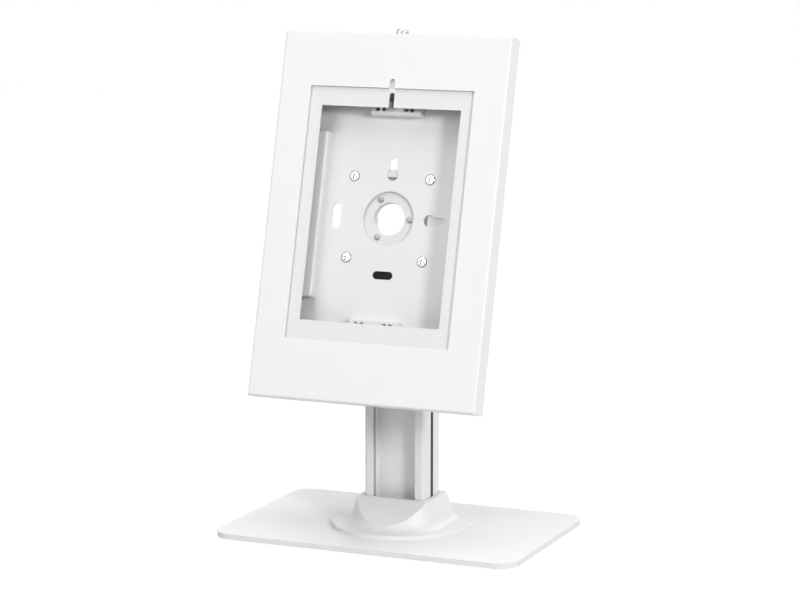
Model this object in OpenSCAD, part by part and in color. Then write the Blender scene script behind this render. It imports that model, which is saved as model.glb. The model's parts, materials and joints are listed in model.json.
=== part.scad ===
// Tablet security kiosk stand: a lockable sheet-metal tablet case on a tilting and
// turning head, carried by an extruded column on a weighted base plate.
// Millimetres. +X is right seen from the front, the screen faces -Y, +Z is up, and
// the origin is on the desk under the centre of the base plate.

/* [Base] */
// Width of the base plate, left to right
base_w = 298; // [260:1:360]
// Depth of the base plate, front to back
base_d = 196; // [170:1:240]
// Thickness of the base plate
base_t = 5; // [4:0.5:8]
// Corner radius of the base plate
base_corner_r = 19; // [6:1:40]
// Height of the rubber feet
foot_h = 1.5; // [1:0.5:5]
// Radius of a rubber foot
foot_r = 11; // [6:1:15]
// Distance from a foot's centre to the plate's edges
foot_inset = 20; // [17:1:36]

/* [Collar] */
// Height of the moulded collar at the column's foot
collar_h = 28.5; // [20:0.5:45]
// Radius of the collar's round flange
collar_flange_r = 66; // [60:1:80]
// Height of the flange's upright rim
collar_rim_h = 2.6; // [1.5:0.1:5]
// How far the collar's top stands out round the column
collar_margin = 5.6; // [4:0.1:9]
// Wall thickness of the collar
collar_wall = 2.2; // [1.5:0.1:2.6]
// Slope of the collar's sides from upright, in degrees
collar_draft = 16; // [8:1:20]
// Slope of the collar's front and rear faces from upright, in degrees
collar_face_slope = 49; // [40:1:55]
// Fillet between the collar and its flange
collar_foot_r = 6; // [3:0.5:8]

/* [Column] */
// Width of the column profile
column_w = 60; // [56:1:76]
// Depth of the column profile
column_d = 38.6; // [36:0.2:48]
// Length of the column
column_h = 241.5; // [220:0.5:320]
// Distance of the column's axis behind the middle of the base
column_y = 4.4; // [0:0.2:16]
// Corner radius of the column profile
column_corner_r = 3; // [1:0.5:4]
// Width of the rails beside the front and rear channels
rail_w = 9; // [8.5:0.1:11]
// Depth of the front and rear channels
channel_depth = 12; // [10:0.2:13]
// Depth of the wider mouth of a channel
channel_mouth = 4.7; // [3:0.1:6]
// How much the channel narrows on each side behind its mouth
channel_step = 1; // [0.5:0.1:1.5]
// Wall between a channel and the hollow core
web_t = 2; // [1.5:0.1:3]
// Width of the slot along each side of the column
groove_w = 4; // [3:0.1:5]
// Depth of the slot along each side of the column
groove_depth = 5; // [3.5:0.1:6]
// How far the rubber strip lies below the mouth of the slot
strip_recess = 0.2; // [0.1:0.1:1.5]
// Radius of the screw ports in the column
port_r = 2.4; // [2:0.1:2.6]
// Distance from a screw port to the column's side
port_side = 5; // [4.6:0.1:5.5]
// Distance from a screw port to the column's front or rear face
port_front = 6.5; // [5:0.1:8]
// Thickness of the rear cable cover
cable_cover_t = 1.6; // [1.2:0.1:2.5]

/* [Cap and yoke] */
// Thickness of the cap's top
cap_t = 3; // [2:0.5:5]
// Length of the cap's skirt round the column
cap_skirt = 11; // [8:0.5:16]
// Wall of the cap's skirt
cap_wall = 1.6; // [1.2:0.1:2.4]
// Thickness of the yoke's steel
yoke_t = 3; // [2.5:0.1:4]
// Radius of the round top of the yoke's cheeks
yoke_r = 13; // [12:0.5:16]
// Height of the tilt pivot above the cap
pivot_rise = 38.5; // [36:0.5:50]
// Width of the cable slot through the cap and the yoke
cable_slot_w = 8; // [6:0.5:9]
// Length of the cable slot through the cap and the yoke
cable_slot_l = 18; // [12:0.5:30]
// Height of the cable's way out between the collar and the cable cover
cable_exit_h = 14; // [8:0.5:30]

/* [Tilt head] */
// How far the screen leans back
screen_tilt = 15; // [0:1:30]
// Distance from the tilt pivot to the front of the case
head_reach = 56; // [54:0.5:66]
// Steel thickness of the tilt bracket
bracket_t = 3; // [2.5:0.1:4]
// Outer bend radius of the yoke and the tilt bracket
bracket_bend_r = 4.5; // [4.1:0.1:6]
// Height of the tilt bracket's front plate
bracket_h = 90; // [76:1:92]
// Metal outside the tilt stop's slot in the bracket's ears
ear_edge = 2.2; // [1.8:0.1:6]
// Radius of the tilt bolts
bolt_r = 4; // [3:0.1:5]
// Radius of the friction washers
friction_r = 11.5; // [9:0.5:12.5]
// Thickness of the friction washers
friction_t = 0.9; // [0.6:0.1:1.5]
// Radius of the tilt and rotation stop pins
stop_pin_r = 2; // [1.5:0.1:2.2]
// Most the screen leans back from upright
tilt_most = 60; // [40:5:60]

/* [Rotation] */
// Hole spacing of the square screen mount
mount_pitch = 75; // [75:1:100]
// Distance from the mount's holes to the plate's edges
mount_edge = 7.5; // [6:0.5:12]
// Thickness of the mount plate
mount_plate_t = 3; // [2.5:0.1:4]
// Depth of the mount plate's recess inside the tray's round hole
mount_recess = 1.2; // [0.8:0.1:1.6]
// Radius of the cable bore through the hub
hub_bore_r = 15; // [12:0.5:16]
// Wall of the hub outside its screws
hub_wall = 2; // [1.5:0.1:3]
// How far the hub's rear flange stands out
hub_flange_w = 5.5; // [4:0.1:6]
// Thickness of the hub's rear flange
hub_flange_t = 2.4; // [2:0.1:4]
// Thickness of the nylon washers on both sides of the bracket
slip_t = 0.7; // [0.5:0.1:1.2]
// Wall between the hub's bore and its screws
hub_inner_wall = 3.5; // [2:0.1:4]
// Angle that the case turns between portrait and landscape
turn_range = 90; // [60:5:100]

/* [Case] */
// Width of the front cover
cover_w = 223; // [214:1:260]
// Height of the front cover
cover_h = 338.5; // [320:0.5:400]
// Depth of the front cover
cover_depth = 20; // [18:0.2:20.4]
// Sheet thickness of the front cover
cover_t = 1.5; // [1.2:0.1:1.8]
// Outer bend radius of the cover and the tray
cover_bend_r = 2.2; // [2:0.1:3]
// How far the mount's axis lies above the middle of the case
axis_rise = 2.5; // [0:0.5:6]
// Gap between the cover's walls and the tray
case_gap = 1.5; // [1.3:0.1:2.2]
// Overall depth of the case
case_depth = 24; // [23.6:0.1:28]
// Sheet thickness of the rear tray
tray_t = 1.5; // [1.2:0.1:1.8]
// Depth at which the tray's rim starts behind the screen face
tray_rim = 5; // [4.6:0.1:6]
// Radius of the round hole in the tray's back
tray_hole_r = 25; // [24:0.5:26]
// Distance of the keyholes from the mount's axis
keyhole_reach = 40.3; // [38:0.1:50]
// Radius of a keyhole's round end
keyhole_r = 5.5; // [4.5:0.1:6]
// Width of a keyhole's slot
keyhole_slot_w = 7; // [5:0.1:8]
// Length of a keyhole's slot from its round end
keyhole_slot = 15.2; // [12:0.1:18]
// Width of the cable slot at the side
side_slot_w = 9; // [5:0.5:10]
// Length of the cable slot at the side
side_slot_l = 22; // [14:0.5:40]
// Distance of the side cable slot from the mount's axis
side_slot_reach = 51.7; // [50:0.1:56]
// Width of the cable slot at the bottom
lower_slot_w = 7.5; // [5:0.5:10]
// Length of the cable slot at the bottom
lower_slot_l = 20; // [14:0.5:40]
// Distance of the lower cable slot below the mount's axis
lower_slot_reach = 52.1; // [51:0.1:60]

/* [Window and insert] */
// Width of the window in the front cover
window_w = 161.2; // [150:0.1:166]
// Height of the window in the front cover
window_h = 232.7; // [220:0.1:240]
// Width of the camera notch above the cover's window
window_notch_w = 5.2; // [3:0.1:10]
// Height of the camera notch above the cover's window
window_notch_h = 8.3; // [6:0.1:14]
// Width of the insert frame's opening
screen_w = 137.3; // [120:0.1:142]
// Height of the insert frame's opening
screen_h = 197.6; // [180:0.1:204]
// Width of the camera notch above the insert's opening
screen_notch_w = 4.9; // [3:0.1:10]
// Height of the camera notch above the insert's opening
screen_notch_h = 13.7; // [6:0.1:20]
// How far the insert frame reaches behind the cover round the window
insert_margin = 14.5; // [12:0.5:16]
// Sheet thickness of the insert frame
insert_t = 1.2; // [1:0.1:1.5]
// Gap between the cover and the insert frame
insert_gap = 1; // [0.6:0.1:1.4]
// Radius of the weld studs that carry the insert
stud_r = 1.5; // [1.2:0.1:2]

/* [Tablet supports] */
// Height of the supports above the tray's back
support_rise = 10; // [8:0.1:12]
// Sheet thickness of the supports
support_t = 1.2; // [1:0.1:1.5]
// Bend radius of the supports
support_bend_r = 2.4; // [2:0.1:3]
// Width of the upper and lower supports
bracket_support_w = 50; // [40:1:70]
// Height of the upper and lower supports
bracket_support_h = 14; // [12:0.5:20]
// Distance of the upper and lower supports from the mount's axis
bracket_support_reach = 93.3; // [90:0.1:100]
// Length of the supports' slots
support_slot_l = 10; // [6:0.5:14]
// Width of the supports' slots
support_slot_w = 3.6; // [2:0.1:5]
// Width of the bar across each slot
support_bar_w = 1.6; // [1:0.1:2.4]
// Flat strip between the supports' bend and their slots
support_slot_inset = 1.2; // [0:0.1:2]
// Spacing of the supports' slots
support_slot_pitch = 28; // [20:1:30]
// Width of the side supports
side_support_w = 14; // [12:0.5:18]
// Length of the side supports
side_support_h = 154; // [120:1:170]
// Distance of the side supports from the mount's axis
side_support_reach = 64; // [62:0.1:70]

/* [Hinge] */
// Distance of the cover's hinges from the middle
hinge_reach = 70; // [50:1:80]
// Length of a cover hinge
hinge_l = 36; // [24:1:50]
// Length of the hinge knuckle on the tray
hinge_knuckle_l = 15; // [10:0.5:18]
// Radius of the hinge pins
hinge_pin_r = 0.75; // [0.6:0.05:0.9]

/* [Lock] */
// Radius of the lock's barrel
lock_r = 5; // [4.6:0.1:5.4]
// Radius of the lock's outer rim
lock_rim_r = 6; // [5.8:0.1:7]
// Height of the lock's dome above the case
lock_dome_h = 5.4; // [4:0.1:7]
// Length of the lock's barrel
lock_l = 13.8; // [12:0.1:16]
// Radius of the lock's turning plug
lock_plug_r = 3.4; // [3:0.1:3.6]
// Width of the lock's cam
cam_w = 8; // [7:0.1:9]
// Thickness of the lock's cam
cam_t = 1.5; // [1.2:0.1:2]

/* [Fits] */
// Radial clearance of turning fits
run_fit = 0.06; // [0.02:0.01:0.1]
// Clearance between flat faces that slide
face_gap = 0.1; // [0.05:0.01:0.2]
// Clearance between pieces that must not touch
free_gap = 0.3; // [0.3:0.05:0.6]
// Clearance round the column in the collar and the cap
slip_gap = 0.3; // [0.1:0.05:0.5]

/* [Hidden] */
$fn = 64;
cut = 1; // overshoot of a cutting tool

white = [0.95, 0.95, 0.95];
steel = [0.72, 0.73, 0.75];
black = [0.08, 0.08, 0.09];
nylon = [0.85, 0.85, 0.82];

// Heights, from the desk upwards
foot_draft = foot_h / 3;
base_top = foot_h + base_t;
column_top = base_top + column_h;
yoke_z = column_top + cap_t;
pivot_z = yoke_z + pivot_rise;

// Fasteners: head radius, head height, shank radius
hub_screw = [2.8, 1.5, 1.5];
mount_screw = [4.8, 1.8, 2];
yoke_screw = [4, 3, port_r];
base_screw = [5.4, 3, port_r];
nut_t = 2.4;
thread_run = 14;

// Round the mount's axis, from the cable bore outwards
turn_stop_room = 3;
hub_screw_circle_r = hub_bore_r + hub_inner_wall + hub_screw[2];
hub_r = hub_screw_circle_r + hub_screw[2] + hub_wall;
hub_flange_r = hub_r + hub_flange_w;
turn_stop_r = hub_flange_r + stop_pin_r + turn_stop_room;
mount_plate_w = mount_pitch + 2 * mount_edge;
mount_corner_r = 5;
keyhole_room = 1.5;
keyhole_slit_edge = 1.9;

// Round the tilt pivot
tilt_stop_room = 2;
tilt_stop_r = friction_r + stop_pin_r + tilt_stop_room;
ear_r = tilt_stop_r + stop_pin_r + free_gap + ear_edge;

// Across the tilt joint, from the middle outwards
yoke_room = 1;
yoke_half = column_w / 2 + yoke_room + yoke_t;
ear_in = yoke_half + friction_t + face_gap;
ear_half = ear_in + bracket_t;

// Depths behind the screen face, from the tray to the hub
tray_inner = case_depth - tray_t;
mount_back = case_depth + mount_plate_t;
bracket_front = mount_back + slip_t + face_gap;
bracket_back = bracket_front + bracket_t;
hub_flange_front = bracket_back + slip_t + face_gap;
hub_back = hub_flange_front + hub_flange_t;

// The case, in the frame of the mount's axis
tray_w = cover_w - 2 * (cover_t + case_gap);
tray_h = cover_h - 2 * (cover_t + case_gap);
cover_top = cover_h / 2 - axis_rise;
cover_bottom = -cover_h / 2 - axis_rise;
tray_top = tray_h / 2 - axis_rise;
tray_bottom = -tray_h / 2 - axis_rise;
insert_w = window_w + 2 * insert_margin;
insert_h = window_h + 2 * insert_margin;
insert_front = cover_t + insert_gap;
insert_back = insert_front + insert_t;
support_front = tray_inner - support_rise;
camera_room_w = screen_notch_w + 2 * support_t;

// The cover's hinge line, in the gap under the tray
knuckle_r = (cover_t + case_gap - free_gap) / 2;
hinge_z = cover_bottom + knuckle_r;
hinge_depth = cover_depth + knuckle_r + free_gap;
hinge_leaf_t = 2 * free_gap;
hinge_leaf_l = 10;

// The lock: its cam turns just behind the lip of the tray and clear of its back
lock_depth = tray_rim + tray_t + free_gap + cam_w / 2;
cam_reach = tray_inner - lock_depth - 2 * free_gap;
lock_notch_gap = 1.2;
lock_notch_r = lock_rim_r + lock_notch_gap;
lock_nut_r = lock_notch_r - free_gap;
lock_face_r = lock_plug_r + 1;
cam_top = cover_top - lock_l;
cam_bottom = cam_top - cam_t;
lip_catch = 2;
lip_side = 6;
lip_h = tray_top - tray_t - cam_bottom + lip_catch;

// The insert's weld studs, in a ring between the window and the insert's edge
stud_tip = 0.8;
stud_end = insert_back + nut_t + stud_tip;
stud_collar_r = 2 * stud_r;
stud_nut_r = 2.1 * stud_r;
insert_corner_r = 4;
insert_studs = [for (sx = [-1, 1], sz = [-1, 1])
    each [[sx * (window_w + insert_margin) / 2, sz * window_h / 3],
          [sx * window_w / 4, sz * (window_h + insert_margin) / 2]]];

// Frame of the tilt pivot, leaning with the screen
module at_head()
    translate([0, column_y, pivot_z]) rotate([-screen_tilt, 0, 0]) children();

// Frame of the case: origin on the mount's axis at the screen face, y into the case
module at_case()
    at_head() translate([0, -head_reach, 0]) children();

// A plate parallel to the screen, from an outline in x and z
module plate(depth, t)
    translate([0, depth + t, 0]) rotate([90, 0, 0]) linear_extrude(t) children();

// A plate square to x, from an outline in y and z
module side_plate(x, t)
    translate([x, 0, 0]) rotate([90, 0, 90]) linear_extrude(t) children();

// A rod along the depth of the case
module depth_rod(r, depth, l)
    translate([0, depth, 0]) rotate([-90, 0, 0]) cylinder(r = r, h = l);

// A rod across the stand
module cross_rod(r, x, l)
    translate([x, 0, 0]) rotate([0, 90, 0]) cylinder(r = r, h = l);

module both_sides() {
    children();
    mirror([1, 0, 0]) children();
}

module rounded_rect(w, h, r) {
    square([w - 2 * r, h], center = true);
    square([w, h - 2 * r], center = true);
    for (sx = [-1, 1], sy = [-1, 1])
        translate([sx * (w / 2 - r), sy * (h / 2 - r)]) circle(r);
}

module obround(l, w) {
    square([l - w, w], center = true);
    for (s = [-1, 1])
        translate([s * (l - w) / 2, 0]) circle(w / 2);
}

function on_circle(r, a) = [r * cos(a), r * sin(a)];

module ring(r_out, r_in)
    difference() {
        circle(r_out);
        circle(r_in);
    }

// A slot for a pin that moves along an arc of radius r, with room w round the pin's axis,
// for spans below 150 degrees
module arc_slot(r, w, from, to) {
    far = 2 * r;
    end = asin(w / r);
    low = from - end;
    high = to + end;
    mid = (from + to) / 2;
    intersection() {
        ring(r + w, r - w);
        polygon([[0, 0], far * [cos(low), sin(low)],
                 2 * far * [cos(mid), sin(mid)], far * [cos(high), sin(high)]]);
    }
}

// The quarter ring of a fold, with the sheet's face at y = 0
module fold_profile(half, t, r)
    translate([half - r, r]) intersection() {
        ring(r, r - t);
        translate([0, -r]) square(r);
    }

// One folded wall along z: its bend is shorter than the wall, as a corner relief
module folded_wall(half, bend_l, wall_l, depth, t, r) {
    linear_extrude(bend_l, center = true) fold_profile(half, t, r);
    linear_extrude(wall_l, center = true)
        translate([half - t, r]) square([t, depth - r]);
}

// A shallow box folded from one sheet: face at y = 0, walls towards +y
module folded_pan(w, h, depth, t, r) {
    plate(0, t) square([w - 2 * r, h - 2 * r], center = true);
    for (turn = [0, 180])
        rotate([0, turn, 0]) folded_wall(w / 2, h - 2 * r, h, depth, t, r);
    for (turn = [-90, 90])
        rotate([0, turn, 0])
            folded_wall(h / 2, w - 2 * r, w - 2 * t, depth, t, r);
}

// A pan-head screw along +z, with the underside of its head at z = 0
module pan_screw(size, l) {
    edge_h = size[1] / 2;
    crown_r = 0.75 * size[0];
    rotate_extrude() polygon([[0, 0], [size[0], 0], [size[0], -edge_h],
                              [crown_r, -size[1]], [0, -size[1]]]);
    cylinder(r = size[2], h = l);
}

// A countersunk screw along +z, with the top of its head at z = 0
module countersunk_screw(size, l) {
    cylinder(r1 = size[0], r2 = size[2], h = size[1]);
    cylinder(r = size[2], h = l);
}

// Places of the screw ports in the column
module at_ports(z)
    for (sx = [-1, 1], sy = [-1, 1])
        translate([sx * (column_w / 2 - port_side),
                   column_y + sy * (column_d / 2 - port_front), z]) children();

module at_mount_holes()
    for (sx = [-1, 1], sz = [-1, 1])
        translate([sx * mount_pitch / 2, 0, sz * mount_pitch / 2]) children();

module at_hub_screws()
    for (a = [0, 120, 240])
        translate(hub_screw_circle_r * [cos(a), 0, sin(a)]) children();

// Base

module rubber_feet()
    color(black)
        for (sx = [-1, 1], sy = [-1, 1])
            translate([sx * (base_w / 2 - foot_inset), sy * (base_d / 2 - foot_inset), 0])
                cylinder(r1 = foot_r - foot_draft, r2 = foot_r, h = foot_h);

module base_plate()
    color(white) difference() {
        translate([0, 0, foot_h]) linear_extrude(base_t)
            rounded_rect(base_w, base_d, base_corner_r);
        at_ports(foot_h) {
            translate([0, 0, -cut]) cylinder(r = base_screw[2] + slip_gap, h = base_t + 2 * cut);
            translate([0, 0, -slip_gap])
                cylinder(r1 = base_screw[0] + slip_gap, r2 = base_screw[2] + slip_gap,
                         h = base_screw[1] + slip_gap);
        }
    }

module base_screws()
    color(steel) at_ports(foot_h) countersunk_screw(base_screw, base_t + thread_run);

// The collar is a drafted round post with a filleted foot. Steep side planes and sloping front
// and rear planes cut it to the rectangle round the column. A section is the planes' distances
// in x and y and the post's radius.
collar_corner = 1;
collar_rim_round = 1;
collar_flange_rise = 0.4;
collar_pole = 4;
collar_corner_steps = 10;
collar_edge_steps = 4;
collar_foot_steps = 6;
collar_levels = 9;
collar_foot_z = collar_rim_h + collar_rim_round + collar_flange_rise;
collar_top = [column_w, column_d] / 2 + collar_margin * [1, 1];
function collar_section(z, out) =
    let(down = collar_h - z, side = down * tan(collar_draft) + out)
    [collar_top[0] + side, collar_top[1] + down * tan(collar_face_slope),
     norm(collar_top) - collar_corner + side];
function box_section(half) = [half[0], half[1], norm(half) - slip_gap];
function round_section(r) = [2 * r, 2 * r, r];

// Angles of a ring: a quarter's round part runs between the planes, and the edges lie between
function collar_angles(s) =
    let(low = max(collar_pole, acos(min(1, s[0] / s[2]))),
        high = min(90 - collar_pole, asin(min(1, s[1] / s[2]))),
        ends = [for (k = [0 : 4]) 90 * k * [1, 1] + (k % 2 == 0 ? [low, high] : [90 - high, 90 - low])])
    [for (k = [0 : 3]) each concat(
        [for (i = [0 : collar_corner_steps])
            ends[k][0] + (ends[k][1] - ends[k][0]) * i / collar_corner_steps],
        [for (i = [1 : collar_edge_steps - 1])
            ends[k][1] + (ends[k + 1][0] - ends[k][1]) * i / collar_edge_steps])];
function collar_ring(s, z) = [for (a = collar_angles(s))
    let(r = 1 / max(1 / s[2], abs(cos(a)) / s[0], abs(sin(a)) / s[1])) [r * cos(a), r * sin(a), z]];

// A closed shell lofted through rings of equal length, the last ring joined to the first
module loft_shell(rings) {
    n = len(rings[0]);
    m = len(rings);
    polyhedron(
        [for (r = rings) each r],
        [for (i = [0 : m - 1], j = [0 : n - 1])
            let(k = (j + 1) % n, low = i * n, high = (i + 1) % m * n)
            each [[low + j, high + j, high + k], [low + j, high + k, low + k]]]);
}

// Outside, the rim, the flange, the foot's fillet and the post. Inside, the opening for the
// column and the like post, one wall smaller.
module base_collar() {
    post_z = collar_foot_z + collar_foot_r;
    inner_h = collar_h - collar_wall;
    rim = [collar_ring(round_section(collar_flange_r), 0),
           collar_ring(round_section(collar_flange_r), collar_rim_h),
           collar_ring(round_section(collar_flange_r - collar_rim_round), collar_rim_h + collar_rim_round)];
    foot = [for (i = [0 : collar_foot_steps]) let(a = 90 * i / collar_foot_steps,
            z = collar_foot_z + collar_foot_r * (1 - cos(a)))
        collar_ring(collar_section(z, collar_foot_r * (1 - sin(a))), z)];
    post = [for (i = [1 : collar_levels]) let(z = post_z + (collar_h - post_z) * i / collar_levels)
        collar_ring(collar_section(z, 0), z)];
    opening = [for (z = [collar_h, inner_h])
        collar_ring(box_section([column_w, column_d] / 2 + slip_gap * [1, 1]), z)];
    inside = [for (i = [collar_levels : -1 : 0]) let(z = inner_h * i / collar_levels)
        collar_ring(collar_section(z + collar_wall, -collar_wall), z)];
    color(white) translate([0, column_y, base_top])
        loft_shell(concat(rim, foot, post, opening, inside));
}

// Column

module channel_outline() {
    mouth = column_w - 2 * rail_w;
    for (s = [-1, 1]) {
        translate([0, s * (column_d / 2 - channel_mouth / 2 + cut / 2)])
            square([mouth, channel_mouth + cut], center = true);
        translate([0, s * (column_d / 2 - channel_depth / 2)])
            square([mouth - 2 * channel_step, channel_depth], center = true);
    }
}

module column_outline() {
    core_d = column_d - 2 * (channel_depth + web_t);
    difference() {
        rounded_rect(column_w, column_d, column_corner_r);
        channel_outline();
        square([column_w - 2 * rail_w - 2 * channel_step, core_d], center = true);
        for (s = [-1, 1])
            translate([s * (column_w / 2 - groove_depth / 2 + cut / 2), 0])
                square([groove_depth + cut, groove_w], center = true);
    }
}

module column()
    color(white) difference() {
        translate([0, column_y, base_top]) linear_extrude(column_h) column_outline();
        at_ports(base_top - cut) cylinder(r = port_r + run_fit, h = column_h + 2 * cut);
    }

module groove_strips()
    color(black) both_sides()
        translate([column_w / 2 - groove_depth, column_y - groove_w / 2, base_top])
            cube([groove_depth - strip_recess, groove_w, column_h - cap_skirt]);

// A snap-in strip in the rear channel, with two legs along the channel's walls
module cable_cover() {
    mouth = column_w - 2 * rail_w;
    leg = channel_depth - cable_cover_t;
    legs_w = mouth - 2 * channel_step;
    bottom = base_top + collar_h + cable_exit_h;
    color(white) translate([0, column_y + column_d / 2, bottom])
        linear_extrude(column_top - cap_skirt - free_gap - bottom) {
            translate([-mouth / 2, -cable_cover_t]) square([mouth, cable_cover_t]);
            translate([0, -leg / 2]) difference() {
                square([legs_w, leg], center = true);
                square([legs_w - 2 * cable_cover_t, leg + cut], center = true);
            }
        }
}

// The cable's way from the head into the rear channel
module cable_slot(z, h)
    translate([0, (column_d - channel_depth) / 2, z]) linear_extrude(h)
        obround(cable_slot_l, cable_slot_w);

module column_cap() {
    grown = 2 * (cap_wall + slip_gap);
    skirt_r = column_corner_r + cap_wall + slip_gap;
    color(black) translate([0, column_y, 0]) difference() {
        translate([0, 0, column_top - cap_skirt]) linear_extrude(cap_skirt + cap_t)
            rounded_rect(column_w + grown, column_d + grown, skirt_r);
        translate([0, 0, column_top - cap_skirt - cut]) linear_extrude(cap_skirt + cut)
            rounded_rect(column_w + 2 * slip_gap, column_d + 2 * slip_gap, column_corner_r);
        cable_slot(column_top - cut, cap_t + 2 * cut);
        translate([0, -column_y, 0]) at_ports(column_top - cut)
            cylinder(r = port_r + slip_gap, h = cap_t + 2 * cut);
    }
}

// Tilt joint

module yoke() {
    cheek_z = yoke_z + bracket_bend_r;
    color(steel) difference() {
        union() {
            translate([0, column_y, yoke_z]) linear_extrude(yoke_t)
                square([2 * (yoke_half - bracket_bend_r), column_d], center = true);
            translate([0, column_y, yoke_z]) rotate([90, 0, 0])
                linear_extrude(2 * yoke_r, center = true)
                    both_sides() fold_profile(yoke_half, yoke_t, bracket_bend_r);
            both_sides() side_plate(yoke_half - yoke_t, yoke_t) {
                translate([column_y - yoke_r, cheek_z]) square([2 * yoke_r, pivot_z - cheek_z]);
                translate([column_y, pivot_z]) circle(yoke_r);
            }
        }
        translate([0, column_y, 0]) cable_slot(yoke_z - cut, yoke_t + 2 * cut);
        at_ports(yoke_z - cut) cylinder(r = port_r + slip_gap, h = yoke_t + 2 * cut);
        translate([0, column_y, pivot_z]) {
            cross_rod(bolt_r + run_fit, -yoke_half - cut, 2 * (yoke_half + cut));
            translate([0, 0, -tilt_stop_r])
                cross_rod(stop_pin_r + run_fit, -yoke_half - cut, 2 * (yoke_half + cut));
        }
    }
}

module yoke_screws()
    color(steel) at_ports(yoke_z + yoke_t)
        mirror([0, 0, 1]) pan_screw(yoke_screw, yoke_t + cap_t + thread_run);

spring_r = 9;
spring_t = 0.8;
spring_cone = 0.5;
bolt_head = [7, 4];
bolt_nut = [7.4, 4];
bolt_tip = 0.5;
spring_x = ear_half + face_gap;
head_x = spring_x + spring_t + spring_cone;

module tilt_bolts()
    color(steel) translate([0, column_y, pivot_z]) both_sides() {
        nut_inner = yoke_half - yoke_t - bolt_nut[1] - bolt_tip;
        cross_rod(bolt_r, nut_inner, head_x - nut_inner);
        cross_rod(bolt_head[0], head_x, bolt_head[1]);
    }

module tilt_nuts()
    color(steel) translate([0, column_y, pivot_z]) both_sides()
        translate([yoke_half - yoke_t - bolt_nut[1], 0, 0]) rotate([0, 90, 0]) difference() {
            cylinder(r = bolt_nut[0], h = bolt_nut[1], $fn = 6);
            translate([0, 0, -cut]) cylinder(r = bolt_r + run_fit, h = bolt_nut[1] + 2 * cut);
        }

module friction_washers()
    color(nylon) translate([0, column_y, pivot_z]) both_sides()
        side_plate(yoke_half, friction_t) ring(friction_r, bolt_r + slip_gap);

// Cone washers that press the ears against the friction washers
module spring_washers() {
    inner = bolt_r + slip_gap;
    color(steel) translate([0, column_y, pivot_z]) both_sides()
        translate([spring_x, 0, 0]) rotate([0, 90, 0]) rotate_extrude()
            polygon([[spring_r, 0], [spring_r, spring_t], [inner, spring_t + spring_cone],
                     [inner, spring_cone]]);
}

module tilt_stop_pins()
    color(steel) translate([0, column_y, pivot_z - tilt_stop_r]) both_sides()
        cross_rod(stop_pin_r, yoke_half - yoke_t, ear_half + free_gap - yoke_half + yoke_t);

// Side of an ear: a disc round the pivot with straight flanks to the front plate
module ear_outline() {
    front = bracket_front + bracket_bend_r - head_reach;
    corner = [front, bracket_h / 2];
    lean = atan2(corner[1], corner[0]) - acos(ear_r / norm(corner));
    touch = on_circle(ear_r, lean);
    difference() {
        union() {
            circle(ear_r);
            polygon([[front, -corner[1]], corner, touch, [touch[0], -touch[1]]]);
        }
        circle(bolt_r + run_fit);
        arc_slot(tilt_stop_r, stop_pin_r + free_gap, -90, tilt_most - 90);
    }
}

module tilt_bracket()
    color(white) at_case() difference() {
        union() {
            plate(bracket_front, bracket_t)
                square([2 * (ear_half - bracket_bend_r), bracket_h], center = true);
            translate([0, bracket_front, 0]) linear_extrude(bracket_h, center = true)
                both_sides() fold_profile(ear_half, bracket_t, bracket_bend_r);
            translate([0, head_reach, 0]) both_sides() side_plate(ear_in, bracket_t) ear_outline();
        }
        depth_rod(hub_r + run_fit, bracket_front - cut, bracket_t + 2 * cut);
        translate([0, 0, -turn_stop_r])
            depth_rod(stop_pin_r + run_fit, bracket_front - cut, bracket_t + 2 * cut);
    }

// Rotation joint

module slip_washers()
    color(nylon) at_case()
        for (depth = [bracket_front - slip_t, bracket_back])
            plate(depth, slip_t) ring(hub_flange_r, hub_r + free_gap);

module turn_stop_pin()
    color(steel) at_case() translate([0, 0, -turn_stop_r])
        depth_rod(stop_pin_r, case_depth + free_gap, bracket_back - case_depth - free_gap);

// Slit behind the near edge of a keyhole
module keyhole_slit() {
    half = keyhole_r + keyhole_room;
    translate([keyhole_reach - half, -half]) square([half - keyhole_slit_edge, 2 * half]);
}

// Tab behind the side keyhole's slot
module keyhole_tab()
    translate([0, -2 * keyhole_r])
        square([keyhole_reach + keyhole_slot + keyhole_room, 4 * keyhole_r]);

module mount_plate()
    color(white) at_case() difference() {
        plate(case_depth, mount_plate_t) difference() {
            union() {
                rounded_rect(mount_plate_w, mount_plate_w, mount_corner_r);
                keyhole_tab();
            }
            circle(hub_bore_r + slip_gap);
            for (a = [0, 90]) rotate(a) keyhole_slit();
            arc_slot(turn_stop_r, stop_pin_r + free_gap, 270 - turn_range, 270);
        }
        depth_rod(tray_hole_r + slip_gap, case_depth - cut, mount_recess + cut);
        at_mount_holes()
            depth_rod(mount_screw[2] + run_fit, case_depth - cut, mount_plate_t + 2 * cut);
        at_hub_screws()
            depth_rod(hub_screw[2] + run_fit, case_depth - cut, mount_plate_t + 2 * cut);
    }

hub_thread_floor = 1;
hub_thread = hub_back - mount_back - hub_thread_floor;

module rotation_hub()
    color(white) at_case() difference() {
        union() {
            depth_rod(hub_r, mount_back, hub_back - mount_back);
            depth_rod(hub_flange_r, hub_flange_front, hub_flange_t);
        }
        depth_rod(hub_bore_r, mount_back - cut, hub_back - mount_back + 2 * cut);
        translate([0, hub_flange_front, 0]) rotate([-90, 0, 0])
            cylinder(r1 = hub_bore_r, r2 = hub_bore_r + hub_flange_t, h = hub_flange_t);
        at_hub_screws() depth_rod(hub_screw[2] + run_fit, mount_back - cut, hub_thread + cut);
    }

module hub_screws()
    color(steel) at_case() at_hub_screws()
        translate([0, case_depth + mount_recess, 0]) rotate([-90, 0, 0])
            pan_screw(hub_screw, mount_plate_t - mount_recess + hub_thread - free_gap);

module mount_screws()
    color(steel) at_case() at_mount_holes() translate([0, tray_inner, 0]) rotate([-90, 0, 0])
        pan_screw(mount_screw, tray_t + mount_plate_t);

// Case

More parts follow.
